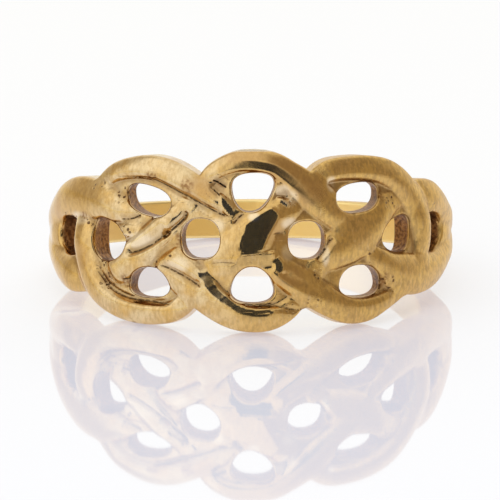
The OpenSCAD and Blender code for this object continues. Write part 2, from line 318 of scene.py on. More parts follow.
# Oval places that are smoothly worn and a little smoky
SMOKE_ROWS = [(0.5, 4, 2.1, 0.5), (10.5, 3.4, 1.1, 0.8), (15.5, 2.6, 0.8, 0.8),
              (7.2, 0.8, 0.55, 1.1), (-12.5, -1.85, 0.5, 0.4), (-9.6, -2.46, 0.55, 0.4),
              (-6.1, -2.94, 0.6, 0.35), (-2, -3.3, 0.7, 0.3), (3, -3.4, 0.7, 0.3)]

# Creases, mostly where two strands meet: depth, width of the groove on the left and on the right of its
# line, how dark its line and the painted shade beside it are, and the points (angle, height) it runs through
CREASE_ROWS = [
    (0.05, 0.12, 0.12, 0.3, [(-42, 3.22), (-36, 3.26), (-31, 3.22), (-27, 3)]),
    (0.12, 0.14, 0.12, 0.8, [(-30, 3.18), (-26, 2.92), (-22, 2.6), (-18, 2.28)]),
    (0.16, 0.22, 0.1, 0.9, [(-20, 2.45), (-16, 2.12), (-12, 1.78), (-8, 1.45), (-4.8, 1.38)]),
    (0.12, 0.22, 0.12, 0.9, [(-40, 1.08), (-36.5, 1.14), (-33.6, 1.36)]),
    (0.08, 0.1, 0.1, 0.4, [(-44, 0.72), (-41, 0.52), (-39.5, 0.34)]),
    (0.3, 0.46, 0.14, 0.9, [(-38, -0.6), (-34, -0.46), (-30, -0.16), (-27, 0.18), (-23.5, 0.6)]),
    (0.22, 0.16, 0.12, 0.9, [(-26.5, 0.24), (-24, 0.52), (-21.2, 0.95), (-19.4, 1.3), (-18.8, 1.65)]),
    (0.22, 0.28, 0.16, 0.8, [(-27, -1.12), (-23.5, -1.32), (-20, -1.6), (-17, -1.9), (-14, -2.25)]),
    (0.16, 0.18, 0.14, 0.7, [(-51, -1.5), (-47.5, -2.2), (-43.5, -2.62), (-38, -2.9), (-30, -3.02),
                             (-22.5, -3.15)]),
    (0.1, 0.12, 0.12, 0.8, [(-2, -3.04), (2, -3.12), (7, -3.14), (11, -3.28), (14.5, -3.4)]),
    (0.05, 0.1, 0.1, 0.6, [(-2.2, -0.6), (2, -0.52), (5.5, -0.42)]),
    (0.05, 0.1, 0.1, 0.5, [(-11, -1), (-8, -0.94), (-4, -0.98)]),
    (0.2, 0.14, 0.14, 1, [(19.5, -0.88), (21.3, -0.5), (23.2, 0.05), (24.2, 0.22)]),
    (0.05, 0.1, 0.1, 0.5, [(6.5, 0.5), (10, 0.55)]),
    (0.1, 0.34, 0.26, 0, [(8, -1.34), (12.5, -1.85), (16, -2.08), (20, -2.18), (24, -2.22)]),
    (0.1, 0.12, 0.12, 0.8, [(-4.8, 1), (-3.4, 1.3), (-1.8, 1.52)]),
    (0.06, 0.1, 0.1, 0.7, [(14.5, -3.3), (16, -3.42), (18, -3.46)]),
    (0.08, 0.12, 0.1, 0.7, [(-40, -1.95), (-36, -1.84), (-33, -1.52)]),
    # This row cuts no groove: its dark line is the core of the painted dark reflection in a flank
    (0, 0.1, 0.1, 3, [(-7, 2.82), (-8.2, 2.95), (-9.3, 3.06), (-10.9, 3.18)]),
    (0.02, 0.1, 0.1, 1, [(-11.6, 2.86), (-10.6, 2.72), (-9.4, 2.54), (-8.4, 2.36)]),
]

# How far a crease is known on each side, and the share of its length over which it starts and ends
SEAM_REACH = 0.4
CREASE_FADE = 0.15

# Oval places where the casting is pitted, and stains, the last three of them a painted dark reflection
PIT_ROWS = [(-49.5, 2.75, 0.45, 0.5), (-38, 0.55, 0.55, 0.3), (-28.6, -0.85, 0.28, 0.22),
            (-45.6, -2.05, 0.8, 0.45), (-48.8, -1.4, 0.4, 0.6), (12.3, -3.25, 0.45, 0.3),
            (44.8, 2.05, 0.6, 0.5), (44.8, -2.24, 0.35, 0.5), (36.8, -0.7, 0.22, 0.45),
            (67, 1.3, 0.25, 0.45), (65, -0.75, 0.3, 0.3), (-66, 1.05, 0.6, 0.25),
            (20, -1.6, 0.35, 0.3), (-54, 0.9, 0.3, 0.35), (-40.5, 2.35, 0.4, 0.45),
            (-23, -0.7, 0.3, 0.25), (12, 2.2, 0.4, 0.35),
            (41, -2.2, 0.45, 0.45), (18.5, -2.95, 0.4, 0.3), (-47, -1.85, 0.5, 0.45)]
STAIN_AND_DARK_REFLECTION_ROWS = [(-29.6, 3.38, 0.45, 0.2), (-18.3, 2.88, 0.42, 0.42), (-36.6, -4.18, 0.18, 0.14),
              (-56, 1.1, 0.45, 0.3), (-38.6, 2.4, 0.25, 0.4), (-39, -2.1, 0.25, 0.5),
              (41, 2.35, 0.28, 0.45), (-46.5, -2, 0.5, 0.35), (42, -2, 0.28, 0.5),
              # The last three spots of this table paint a dark reflection in a flank
              (-21.4, 0.1, 0.2, 0.5), (-10.3, 3.12, 0.16, 0.09), (-9.2, 3.02, 0.2, 0.11),
              (-8, 2.9, 0.18, 0.09)]

# Oval places a little browner than the rest, and places with a painted highlight in pale gold
BROWN_ROWS = [(-56, -0.9, 0.5, 0.9), (-73, 1.6, 0.6, 1), (-14, 2.8, 1.2, 0.6),
              (-2, 4.35, 1.4, 0.4), (9.5, 3.7, 1.3, 0.9), (16.5, 2.6, 1.1, 0.9),
              (-17, -3.7, 0.9, 0.5), (11, -1.7, 0.9, 0.6), (7, 0.6, 0.8, 0.8)]
HIGHLIGHT_ROWS = [(1, 1.36, 0.34, 0.26), (11.4, 1, 0.5, 0.35), (11, -0.45, 0.4, 0.45),
             (22, -0.62, 0.2, 0.6), (24, 2.95, 0.3, 0.45), (-10, 0.9, 0.5, 0.4),
             (-34, 0.05, 1.2, 0.45), (-21, -1.1, 0.7, 0.4), (-59, 1, 1, 0.35),
             (9.2, 2.6, 0.5, 0.4), (11.2, 2.3, 0.5, 0.45)]

# The wall is worked out on a flat chart: columns go round the finger, rows along it
CHART_COLUMNS = 1620
CHART_STEP = 0.04
CHART_TOP = 4.9
MM_PER_DEGREE = np.pi * OUTER_R / 180
COLUMN_STEP = 360 / CHART_COLUMNS * MM_PER_DEGREE
chart_angle = -180 + np.arange(CHART_COLUMNS) * 360 / CHART_COLUMNS
chart_height = np.arange(-CHART_TOP, CHART_TOP + CHART_STEP / 2, CHART_STEP)
CHART_A, CHART_H = np.meshgrid(chart_angle, chart_height, indexing="ij")

# Mesh size on the plait, at its ends and round the plain back, the angles where the plait and its
# ends stop, and how far the net that finds the surface reaches past the wall
FINE = 0.09
MIDDLE = 0.12
COARSE = 0.25
PLAIT_TURN = 64
ENDS_TURN = 110
NET_SPARE = 0.25

# Distances over which the slope of the surface is measured, for its form and for its shading
FORM_STEP = 0.01
SHADING_STEP = 0.03

# Where each kind of surface starts and is complete: a raw wall as depth below the outside and then
# as distance from a piercing, a valley as depth below its surroundings, the inside of the finger
# hole as distance from it, and the depths at which valleys, creases and pits fade out
WALL_DEPTH = (0.12, 0.28)
WALL_NEAR = (0.12, 0.30)
VALLEY = (0.015, 0.09)
VALLEY_AROUND = 0.30
BORE_NEAR = (0.02, 0.15)
VALLEY_FADE = (0.05, 0.20)
SEAM_FADE = (0.15, 0.30)
PIT_FADE = (0.5, 0.8)

# Colours of the gold: plain, pale with a painted sheen, warm and old, and then of what lies on it, painted
# light and shade among them
GOLD = (0.75, 0.48, 0.165, 1)
# The pale gold is a painted sheen, standing in for the brighter light on the left side
SHEEN_PAINTED_GOLD = (0.81, 0.61, 0.33, 1)
WARM_GOLD = (0.78, 0.49, 0.13, 1)
OLD_GOLD = (0.72, 0.45, 0.15, 1)
MOTTLE = (0.54, 0.33, 0.11, 1)
DARK_STREAK = (0.50, 0.32, 0.12, 1)
LIGHT_STREAK = (0.90, 0.72, 0.44, 1)
SPECKLE = (0.44, 0.27, 0.10, 1)
BROWN_PLACE = (0.58, 0.34, 0.13, 1)
# Pale gold of the painted highlights, standing in for bright reflections
PAINTED_HIGHLIGHT = (0.95, 0.78, 0.52, 1)
# Dirt and painted shade in the valleys between strands
VALLEY_DIRT_AND_SHADE = (0.33, 0.20, 0.09, 1)
SEAM_SHADE = (0.40, 0.27, 0.13, 1)
# Stains, and a painted dark reflection in a flank
STAIN_AND_DARK_REFLECTION = (0.25, 0.11, 0.035, 1)
PORE = (0.16, 0.085, 0.04, 1)
SEAM_DARK_LINE = (0.05, 0.035, 0.02, 1)
# Brighter gold on the inside of the finger hole, a painted reflection of light between the gold faces
BORE_LIT_GOLD = (1, 0.77, 0.34, 1)

# Raw walls of the piercings, from dark to light, and where they are stained
RAW_DARK = (0.15, 0.065, 0.022, 1)
RAW_LIGHT = (0.44, 0.22, 0.08, 1)
RAW_STAIN = (0.12, 0.05, 0.02, 1)

# Across the ring in mm, from left to right: where the painted sheen turns the gold pale, where that
# ends, and where it turns dull
SHEEN_START = (-8.8, -6.8)
SHEEN_END = (-2.6, 0.2)
DULL = (0.5, 5)

# The white tent, in degrees round from the front to the right and up from level. Each part has the
# ramps over which it starts and ends, and its colour. The key is the brightest part.
WHITE = (1, 1, 1, 1)
LOW_END = (45, 80)
RIGHT_TURN = ((8, 32), (95, 130))
RIGHT_COLOUR = (0.40, 0.33, 0.25, 1)
BEHIND_TURN = ((-160, -120), (-105, -85))
BEHIND_COLOUR = (0.60, 0.55, 0.48, 1)
KEY_TURN = ((-100, -75), (-45, -20))
KEY_CLIMB = ((5, 25), (50, 75))
KEY_COLOUR = (1.15, 1.15, 1.15, 1)
OPENING_TURN = ((-6, -4), (13, 21))
OPENING_MIDDLE = 7
OPENING_HALF = (18, 26)
OPENING_COLOUR = (0.045, 0.055, 0.090, 1)


def smooth_line(rows, closed=False):
    """Points of a smooth curve through the rows of a table."""
    rows = np.array(rows, dtype=float)
    count = len(rows)
    index = np.arange(count if closed else count - 1)

    def row(i):
        return rows[i % count] if closed else rows[np.clip(i, 0, count - 1)]

    a, b, c, d = (row(index + k) for k in (-1, 0, 1, 2))
    parts = []
    for t in np.arange(CURVE_STEPS) / CURVE_STEPS:
        parts.append(0.5 * (2 * b + (c - a) * t + (2 * a - 5 * b + 4 * c - d) * t ** 2
                            + (3 * b - a - 3 * c + d) * t ** 3))
    line = np.stack(parts, 1).reshape(-1, rows.shape[1])
    return line if closed else np.vstack([line, rows[-1]])


def smooth_max(a, b, k):
    """The larger of two fields, with the edge between them rounded over k."""
    h = np.clip(0.5 + 0.5 * (a - b) / k, 0, 1)
    return b + (a - b) * h + k * h * (1 - h)


def smooth_min(a, b, k):
    """The smaller of two fields, rounded in the same way."""
    return -smooth_max(-a, -b, k)


def ramp(value, low, high):
    """0 below low, 1 above high, and smooth between."""
    t = np.clip((value - low) / (high - low), 0, 1)
    return t * t * (3 - 2 * t)


def filled_charts(count, value):
    """Charts that hold one value everywhere."""
    return [np.full(CHART_A.shape, value) for _ in range(count)]


def at(chart, angle, height):
    """Value of a chart between its grid points."""
    u = (angle + 180) / 360 * CHART_COLUMNS
    v = np.clip((height + CHART_TOP) / CHART_STEP, 0, len(chart_height) - 1.001)
    i = np.floor(u).astype(int)
    j = np.floor(v).astype(int)
    p = u - i
    q = v - j
    i0 = i % CHART_COLUMNS
    i1 = (i + 1) % CHART_COLUMNS
    return ((chart[i0, j] * (1 - p) + chart[i1, j] * p) * (1 - q)
            + (chart[i0, j + 1] * (1 - p) + chart[i1, j + 1] * p) * q)


def blurred(chart, size):
    """The chart averaged over about size millimetres."""
    reach = int(2.5 * size / CHART_STEP)
    kernel = np.exp(-0.5 * (np.arange(-reach, reach + 1) * CHART_STEP / size) ** 2)
    kernel /= kernel.sum()
    wide = np.pad(chart, ((reach, reach), (0, 0)), mode="wrap")
    wide = np.pad(wide, ((0, 0), (reach, reach)), mode="edge")
    wide = np.apply_along_axis(np.convolve, 0, wide, kernel, mode="valid")
    return np.apply_along_axis(np.convolve, 1, wide, kernel, mode="valid")


def spots(rows, a, h):
    """1 inside any of the oval spots, fading to 0 round them."""
    total = np.zeros(a.shape)
    for angle, height, half_length, half_height in rows:
        away = np.hypot((a - angle) * MM_PER_DEGREE / half_length, (h - height) / half_height)
        total = np.maximum(total, 1 - ramp(away, *SPOT_FADE))
    return total


def run_chart(line, reach=1.8):
    """For one run of a strand, over the chart as far as reach: the place across it (0 on the crest,
    -1 and 1 on the borders), the distance outside its border, and its rise."""
    s = line[:, ANGLE] * MM_PER_DEGREE
    h = line[:, HEIGHT]
    across, edge, best = filled_charts(3, FAR)
    rise, lean = filled_charts(2, 0.0)
    x = CHART_A * MM_PER_DEGREE
    y = CHART_H
    for i in range(len(line) - 1):
        pair = line[i:i + 2]
        first = pair.min(0)
        last = pair.max(0)
        turns = (first[ANGLE] - reach / MM_PER_DEGREE, last[ANGLE] + reach / MM_PER_DEGREE)
        heights = (first[HEIGHT] - reach, last[HEIGHT] + reach)
        columns = slice(*np.searchsorted(chart_angle, turns))
        rows = slice(*np.searchsorted(chart_height, heights))
        px = x[columns, rows] - s[i]
        py = y[columns, rows] - h[i]
        dx = s[i + 1] - s[i]
        dy = h[i + 1] - h[i]
        t = np.clip((px * dx + py * dy) / (dx * dx + dy * dy), 0, 1)
        distance = np.hypot(px - t * dx, py - t * dy)
        nearer = distance < best[columns, rows]
        half = line[i, HALF] + t * (line[i + 1, HALF] - line[i, HALF])
        side = np.sign(dx * py - dy * px)
        for field, value in ((best, distance), (across, side * distance / half), (edge, distance - half),
                             (rise, line[i, RISE] + t * (line[i + 1, RISE] - line[i, RISE])),
                             (lean, line[i, LEAN] + t * (line[i + 1, LEAN] - line[i, LEAN]))):
            field[columns, rows] = np.where(nearer, value, field[columns, rows])
    from_crest = (across - lean) / np.where(across > lean, 1 - lean, 1 + lean)
    return from_crest, edge, np.clip(rise, 0, 1)


def along_chart(points):
    """For a line through the points: the distance from it, negative on its right, the share of its
    length at the nearest point, how far past its ends that is, and the nearest point itself."""
    line = smooth_line(points)
    nearest, signed = filled_charts(2, FAR)
    place, beyond, foot_a, foot_h = filled_charts(4, 0.0)
    for i in range(len(line) - 1):
        dx = (line[i + 1, 0] - line[i, 0]) * MM_PER_DEGREE
        dy = line[i + 1, 1] - line[i, 1]
        px = (CHART_A - line[i, 0]) * MM_PER_DEGREE
        py = CHART_H - line[i, 1]
        free = (px * dx + py * dy) / (dx * dx + dy * dy)
        t = np.clip(free, 0, 1)
        distance = np.hypot(px - t * dx, py - t * dy)
        nearer = distance < nearest
        nearest = np.where(nearer, distance, nearest)
        beyond = np.where(nearer, np.abs(free - t) * np.hypot(dx, dy), beyond)
        signed = np.where(nearer, np.where(dx * py - dy * px > 0, distance, -distance), signed)
        place = np.where(nearer, (i + t) / (len(line) - 1), place)
        foot_a = np.where(nearer, line[i, 0] + t * dx / MM_PER_DEGREE, foot_a)
        foot_h = np.where(nearer, line[i, 1] + t * dy, foot_h)
    return signed, place, beyond, foot_a, foot_h


def domed(r, height):
    """The wall is full in the middle of the plait and thinner towards its two edges."""
    return BORE_R + (r - BORE_R) * (1 - DOME * (2 * height / FRONT_W) ** 2)


def strand_runs():
    """The strands in runs that each go only one way round the ring."""
    overlap = CURVE_STEPS
    loop = smooth_line(LOOP_ROWS, closed=True)
    left = int(np.argmin(loop[:, ANGLE]))
    right = int(np.argmax(loop[:, ANGLE]))
    loop = np.roll(loop, -right, axis=0)
    middle = (left - right) % len(loop)
    return [
        np.vstack([loop[-overlap:], loop[:middle + overlap]]),
        np.vstack([loop[middle - overlap:], loop[:overlap]]),
        smooth_line(UPPER_ROWS),
        smooth_line(LOWER_ROWS),
    ]


def plait_charts():
    """Outer radius of the plait and its web, and distance outside their outline."""
    end = ramp(np.abs(CHART_A), *END_TURN) * np.clip(1 - (CHART_H / END_HALF) ** 2, 0, 1) ** 0.5
    filled = FILL * spots(FILL_ROWS, CHART_A, CHART_H)
    outer = domed(WEB_R + (END_R - WEB_R) * end + filled, CHART_H)
    outside = np.abs(CHART_H) - np.interp(np.abs(CHART_A), *zip(*WEB_ROWS), right=-FAR)
    meet = CRISP_MEET + (SOFT_MEET - CRISP_MEET) * ramp(CHART_A, *MEET_TURN)
    for line in strand_runs():
        across, edge, rise = run_chart(line)
        across = across / STRAND_SPREAD
        crest = SUNK_R + (OUTER_R - SUNK_R) * rise
        profile = np.maximum(1 - across ** 2, 0) ** CREST_POWER
        radius = domed(SHOULDER_R + (crest - SHOULDER_R) * profile, CHART_H)
        outer = smooth_max(outer, np.where(np.abs(across) < 1, radius, 0), meet)
        outside = smooth_min(outside, edge, OUTLINE_MEET)
    return outer, outside


def with_band(outer, outside):
    """The charts of the plait, joined to the plain band."""
    turn = np.abs(CHART_A)
    turns, rises, halves = zip(*BAND_ROWS)
    half = np.interp(turn, turns, halves, left=-FAR)
    rise = np.interp(turn, turns, rises, left=0)
    crest = BAND_EDGE_R + (BAND_CREST_R - BAND_EDGE_R) * rise
    place = CHART_H - BAND_LIFT * ramp(turn, *BAND_LIFT_TURN)
    profile = np.maximum(1 - (place / np.maximum(half, 0.1)) ** 2, 0) ** CREST_POWER
    band = BAND_EDGE_R + (crest - BAND_EDGE_R) * profile
    front = smooth_max(outer, band, BAND_MEET)
    joined = front + (band - front) * ramp(turn, *BAND_BLEND)
    return np.where(turn > BAND_START, joined, outer), smooth_min(outside, np.abs(place) - half, OUTLINE_MEET)


def hole_chart(row):
    """Distance into the material from the edge of a piercing, negative inside the gap."""
    angle, height, half_angle, half_height, taper, flare, climb, shift = row
    x = (CHART_A - angle) / half_angle
    y = (CHART_H - height - climb * x) / (half_height * np.clip(1 + taper * x, 0.3, 2))
    x = (x - shift * y) / np.clip(1 + flare * y, 0.5, 2)
    f = (np.abs(x) ** HOLE_SQUARENESS + np.abs(y) ** HOLE_SQUARENESS) ** (1 / HOLE_SQUARENESS) - 1
    slope_a, slope_h = np.gradient(f, COLUMN_STEP, CHART_STEP)
    return f / np.maximum(np.hypot(slope_a, slope_h), 0.3)


def with_creases(outer):
    """The wall with its creases, the signed distance from the nearest one, and how dark its line and painted
    shade are.
    """
    seam = np.full(CHART_A.shape, SEAM_REACH)
    seam_near = np.zeros(CHART_A.shape)
    for depth, left_width, right_width, darkness, points in CREASE_ROWS:
        signed, place = along_chart(points)[:2]
        fade = ramp(place, 0, CREASE_FADE) * (1 - ramp(place, 1 - CREASE_FADE, 1))
        width = np.where(signed > 0, left_width, right_width)
        outer = outer - depth * fade * np.exp(-(signed / width) ** 2)
        nearer = np.abs(signed) < np.abs(seam)
        seam = np.where(nearer, signed, seam)
        known = 1 - ramp(np.abs(signed), 0.7 * SEAM_REACH, SEAM_REACH)
        seam_near = np.where(nearer, darkness * fade * known, seam_near)
    return outer, seam, seam_near


def with_facet(outer, row):
    """The wall with a plane facet."""
    turn, climb, depth, point, corners = row
    way = np.radians(turn)
    level = (OUTER_R - depth) * np.cos(np.radians(climb)) * np.cos(np.radians(point[0]) - way)
    level = level + (point[1] - CHART_H) * np.sin(np.radians(climb))
    near = np.clip(CHART_A, -2 * FACET_REACH, 2 * FACET_REACH)
    plane = level / (np.cos(np.radians(climb)) * np.cos(np.radians(near) - way))
    weight = (np.abs(CHART_A) < FACET_REACH) * 1.0
    for i, (start_a, start_h, edge) in enumerate(corners):
        end_a, end_h, _ = corners[(i + 1) % len(corners)]
        dx = (end_a - start_a) * MM_PER_DEGREE
        dy = end_h - start_h
        inward = (CHART_A - start_a) * MM_PER_DEGREE * dy - (CHART_H - start_h) * dx
        weight = weight * ramp(inward / np.hypot(dx, dy), -edge, 0)
    return outer + (plane - outer) * weight


def with_flank(outer, row):
    """The wall with a flank laid flat, so that it faces one way all along."""
    turn, climb, (half_start, half_end), edge, depth, fade, points = row
    signed, place, beyond, foot_a, foot_h = along_chart(points)
    half = half_start + (half_end - half_start) * place
    slope_a = -np.tan(np.radians(turn - foot_a))
    slope_h = -np.tan(np.radians(climb))
    line = smooth_line(points)
    steps = np.linspace(0, 1, len(line))
    level = np.polyval(np.polyfit(steps, at(outer, line[:, 0], line[:, 1]), 3), place)
    flat = level - depth
    flat = flat + slope_a * (CHART_A - foot_a) * MM_PER_DEGREE + slope_h * (CHART_H - foot_h)
    weight = (1 - ramp(np.abs(signed), half, half + edge)) * (1 - ramp(beyond, 0, edge))
    weight = weight * ramp(place, 0, fade) * (1 - ramp(place, 1 - fade, 1))
    return outer + (flat - outer) * weight


def wall_charts():
    """Outer radius of the wall, distance outside its outline, distance from the piercings, and
    distance from the creases with how dark their line and painted shade are, over the whole chart."""
    outer, outside = with_band(*plait_charts())
    gap = np.full(CHART_A.shape, FAR)
    for row in HOLE_ROWS:
        gap = np.minimum(gap, hole_chart(row))
    outer, seam, seam_near = with_creases(outer)
    for row in FACET_ROWS:
        outer = with_facet(outer, row)
    for row in FLANK_ROWS:
        outer = with_flank(outer, row)
    return blurred(outer, SOFTENING), outside, gap, seam, seam_near


outer_chart, outside_chart, gap_chart, seam_chart, seam_near_chart = wall_charts()
valley_chart = blurred(outer_chart, VALLEY_AROUND) - outer_chart
outer_slopes = np.gradient(outer_chart, COLUMN_STEP, CHART_STEP)
steep_chart = 1 / np.sqrt(1 + outer_slopes[0] ** 2 + outer_slopes[1] ** 2)


def drilled(angle, r):
    """Angle at the outside of the wall of the piercing line that passes through angle at radius r."""
    straight = np.degrees(np.arcsin(np.clip(r * np.sin(np.radians(angle)) / DRILL_R, -1, 1)))
    turn = np.abs((angle + 180) % 360 - 180)
    share = np.interp(angle, DRILL_SIDES, DRILL_SHARE) * (1 - ramp(turn, *DRILL_FADE))
    return angle + share * np.where(turn < DRILL_END, straight - angle, 0)


def solid(angle, height, r):
    """Negative inside the metal."""
    top = (r - at(outer_chart, angle, height)) * at(steep_chart, angle, height)
    pierced = -at(gap_chart, drilled(angle, r), height)
    border = smooth_max(at(outside_chart, angle, height), pierced, GAP_ROUND)
    body = smooth_max(top, border, EDGE_ROUND)
    return smooth_max(body, BORE_R - r, INNER_ROUND)


def net_vertices(field, angles, heights, radii):
    """One vertex (angle, height, radius) in each cell that the surface crosses, and the number of
    each cell's vertex. The net closes on itself in angle."""
    shape = (len(angles), len(heights) - 1, len(radii) - 1)
    total = np.zeros(shape + (3,))
    count = np.zeros(shape)

    def corner(c):
        rolled = np.roll(field, -c[0], axis=0)
        return rolled[:, c[1]:c[1] + shape[1], c[2]:c[2] + shape[2]]

    for c in np.ndindex(2, 2, 2):
        for axis in range(3):
            if c[axis]:
                continue
            near = corner(c)
            far = corner(tuple(c[m] + (m == axis) for m in range(3)))
            crossing = (near < 0) != (far < 0)
            t = np.where(crossing, near / np.where(crossing, near - far, 1), 0)
            for m in range(3):
                total[..., m] += np.where(crossing, c[m] + (t if m == axis else 0), 0)
            count += crossing
    active = count > 0
    number = np.full(shape, -1)
    number[active] = np.arange(active.sum())
    cell = np.argwhere(active)
    offset = total[active] / count[active][:, None]
    steps = np.diff(np.append(angles, angles[0] + 360))
    place = np.stack([angles[cell[:, 0]] + offset[:, 0] * steps[cell[:, 0]],
                      heights[cell[:, 1]] + offset[:, 1] * (heights[1] - heights[0]),
                      radii[cell[:, 2]] + offset[:, 2] * (radii[1] - radii[0])], 1)
    return place, number


def net_quads(inside, number):
    """The quads between the vertices, each turned to face out of the metal."""
    shape = inside.shape
    quads = []
    for axis in range(3):
        first = inside
        second = np.roll(inside, -1, axis=0)
        if axis:
            lower = [slice(None)] * 3
            upper = [slice(None)] * 3
            lower[axis] = slice(0, -1)
            upper[axis] = slice(1, None)
            first = inside[tuple(lower)]
            second = inside[tuple(upper)]
        edges = np.argwhere(first != second)
        others = [m for m in range(3) if m != axis]
        keep = np.ones(len(edges), bool)
        for m in others:
            if m:
                keep &= (edges[:, m] > 0) & (edges[:, m] < shape[m] - 1)
        edges = edges[keep]
        ring = []
        for du, dv in ((0, 0), (1, 0), (1, 1), (0, 1)):
            e = edges.copy()
            e[:, others[0]] -= du
            e[:, others[1]] -= dv
            e[:, 0] %= shape[0]
            ring.append(number[e[:, 0], e[:, 1], e[:, 2]])
        quad = np.stack(ring, 1)
        outward = first[tuple(edges.T)]
        flip = outward if axis == 1 else ~outward
        quad[flip] = quad[flip][:, ::-1]
        quads.append(quad)
    return np.vstack(quads)


def evenly(start, end, size):
    """Angles from start to just before end, about size millimetres apart."""
    return np.linspace(start, end, int((end - start) * MM_PER_DEGREE / size), endpoint=False)


def surface_net():
    """Vertices (angle, height, radius) and quads of the metal's surface."""
    stops = (-ENDS_TURN, -PLAIT_TURN, PLAIT_TURN, ENDS_TURN, 360 - ENDS_TURN)
    sizes = (MIDDLE, FINE, MIDDLE, COARSE)
    angles = np.concatenate([evenly(*part) for part in zip(stops, stops[1:], sizes)])
    heights = np.arange(-CHART_TOP, CHART_TOP, FINE)
    radii = np.arange(BORE_R - NET_SPARE, OUTER_R + NET_SPARE, FINE)
    a, h, r = np.meshgrid(angles, heights, radii, indexing="ij")
    field = solid(a.ravel(), h.ravel(), r.ravel()).reshape(a.shape)
    place, number = net_vertices(field, angles, heights, radii)
    return place, net_quads(field < 0, number)


def slopes(place, step):
    """Growth of the field per mm round the finger, along it and outwards."""
    a, h, r = place.T
    turn = step / MM_PER_DEGREE
    return np.stack([solid(a + turn, h, r) - solid(a - turn, h, r),
                     solid(a, h + step, r) - solid(a, h - step, r),
                     solid(a, h, r + step) - solid(a, h, r - step)], 1) / (2 * step)


def settle(place, rounds=3):
    """Moves each vertex onto the surface of the metal, by short moves."""
    longest = 0.04
    for _ in range(rounds):
        slope = slopes(place, FORM_STEP)
        steepness = np.maximum((slope ** 2).sum(1), 0.2)
        move = np.clip(-solid(*place.T) / steepness, -longest, longest)[:, None] * slope
        move[:, 0] /= MM_PER_DEGREE
        place = place + move
    return place


def relax(place, quads, amount):
    """Evens out the mesh by moving each vertex towards the middle of its neighbours."""
    total = np.zeros_like(place)
    count = np.zeros(len(place))
    for i in range(4):
        start = quads[:, i]
        end = quads[:, (i + 1) % 4]
        delta = place[end] - place[start]
        delta[:, 0] = (delta[:, 0] + 180) % 360 - 180
        for m in range(3):
            total[:, m] += np.bincount(start, delta[:, m], len(place))
            total[:, m] -= np.bincount(end, delta[:, m], len(place))
        count += np.bincount(start, minlength=len(place)) + np.bincount(end, minlength=len(place))
    return place + amount * total / np.maximum(count, 1)[:, None]


def leaned(x, y, z):
    """Coordinates of the upright ring turned to the way it leans."""
    return np.stack([x, y * AXIS[2] + z * AXIS[1], z * AXIS[2] - y * AXIS[1]], 1)


def to_world(place):
    """Points (angle, height, radius) as the ring lies, in metres."""
    angle = np.radians(place[:, 0])
    return (leaned(place[:, 2] * np.sin(angle), -place[:, 2] * np.cos(angle), place[:, 1]) + CENTRE) * MM


def world_normals(place):
    """The direction straight out of the metal at each point."""
    around, along, outward = slopes(place, SHADING_STEP).T
    around = around * OUTER_R / place[:, 2]
    sine = np.sin(np.radians(place[:, 0]))
    cosine = np.cos(np.radians(place[:, 0]))
    normals = leaned(outward * sine + around * cosine, around * sine - outward * cosine, along)
    return normals / np.linalg.norm(normals, axis=1)[:, None]


def kept_inside(points):
    """The points pressed back smoothly where they come near the sides and the top of the CAD box."""
    margin = 0.05 * MM
    for axis, corner, sign in ((0, 1, 1), (1, 1, 1), (2, 1, 1), (0, 0, -1), (1, 0, -1)):
        start = sign * cad_box[corner][axis] - margin
        reach = sign * points[:, axis]
        over = reach > start
        points[over, axis] = sign * (start + margin * np.tanh((reach[over] - start) / margin))
    return points


def surface_masks(place):
    """For each point: the kinds of surface and the spots that it belongs to, and its nearest crease."""
    a, h, r = place.T
    depth = at(outer_chart, a, h) - r
    near_gap = 1 - ramp(np.abs(at(gap_chart, drilled(a, r), h)), *WALL_NEAR)
    wall = ramp(depth, *WALL_DEPTH) * near_gap
    return {
        "valley": ramp(at(valley_chart, a, h), *VALLEY) * (1 - ramp(depth, *VALLEY_FADE)),
        "seam": at(seam_chart, a, h),
        "seam_near": at(seam_near_chart, a, h) * (1 - ramp(depth, *SEAM_FADE)),
        "pitted": spots(PIT_ROWS, a, h) * (1 - ramp(depth, *PIT_FADE)),
        "stain_and_dark_reflection": spots(STAIN_AND_DARK_REFLECTION_ROWS, a, h),
        "smoky": spots(SMOKE_ROWS, a, h),
        "brown": spots(BROWN_ROWS, a, h),
        "painted_highlight": spots(HIGHLIGHT_ROWS, a, h),
        "wall": wall,
        "bore": (1 - ramp(r - BORE_R, *BORE_NEAR)) * (1 - wall),
    }


def build_ring():
    """The ring as one mesh, with its masks as attributes. Returns it with the names of the masks."""
    place, quads = surface_net()
    place = settle(place)
    for _ in range(2):
        place = settle(relax(place, quads, 0.5), 1)
    mesh = bpy.data.meshes.new("gold_ring")
    points = kept_inside(to_world(place))
    mesh.from_pydata(points.tolist(), [], quads.tolist())
    mesh.polygons.foreach_set("use_smooth", [True] * len(quads))
    masks = surface_masks(place)
    for name, values in masks.items():
        mesh.attributes.new(name, "FLOAT", "POINT").data.foreach_set("value", values.astype(np.float32))
    mesh.update()
    mesh.normals_split_custom_set_from_vertices(world_normals(place).tolist())
    ring = bpy.data.objects.new("gold_ring", mesh)
    bpy.context.scene.collection.objects.link(ring)
    return ring, list(masks)


def put(tree, socket, value):
    """Links the socket from another one, or gives it a value."""
    if isinstance(value, bpy.types.NodeSocket):
        tree.links.new(value, socket)
    else:
        socket.default_value = value


def node(tree, kind, inputs=None, **settings):
    """A new shader node with its settings, and its inputs as values or as sockets to link from."""
    made = tree.nodes.new("ShaderNode" + kind)
    for name, value in settings.items():
        setattr(made, name, value)
    for name, value in (inputs or {}).items():
        put(tree, made.inputs[name], value)
    return made


def mixed(tree, factor, first, second):
    """The second colour over the first one, as much as the factor says."""
    made = node(tree, "Mix", {0: factor, 6: first, 7: second}, data_type="RGBA")
    return made.outputs[2]


def math(tree, operation, *values):
    """What a math node makes of the values."""
    return node(tree, "Math", dict(enumerate(values)), operation=operation).outputs[0]


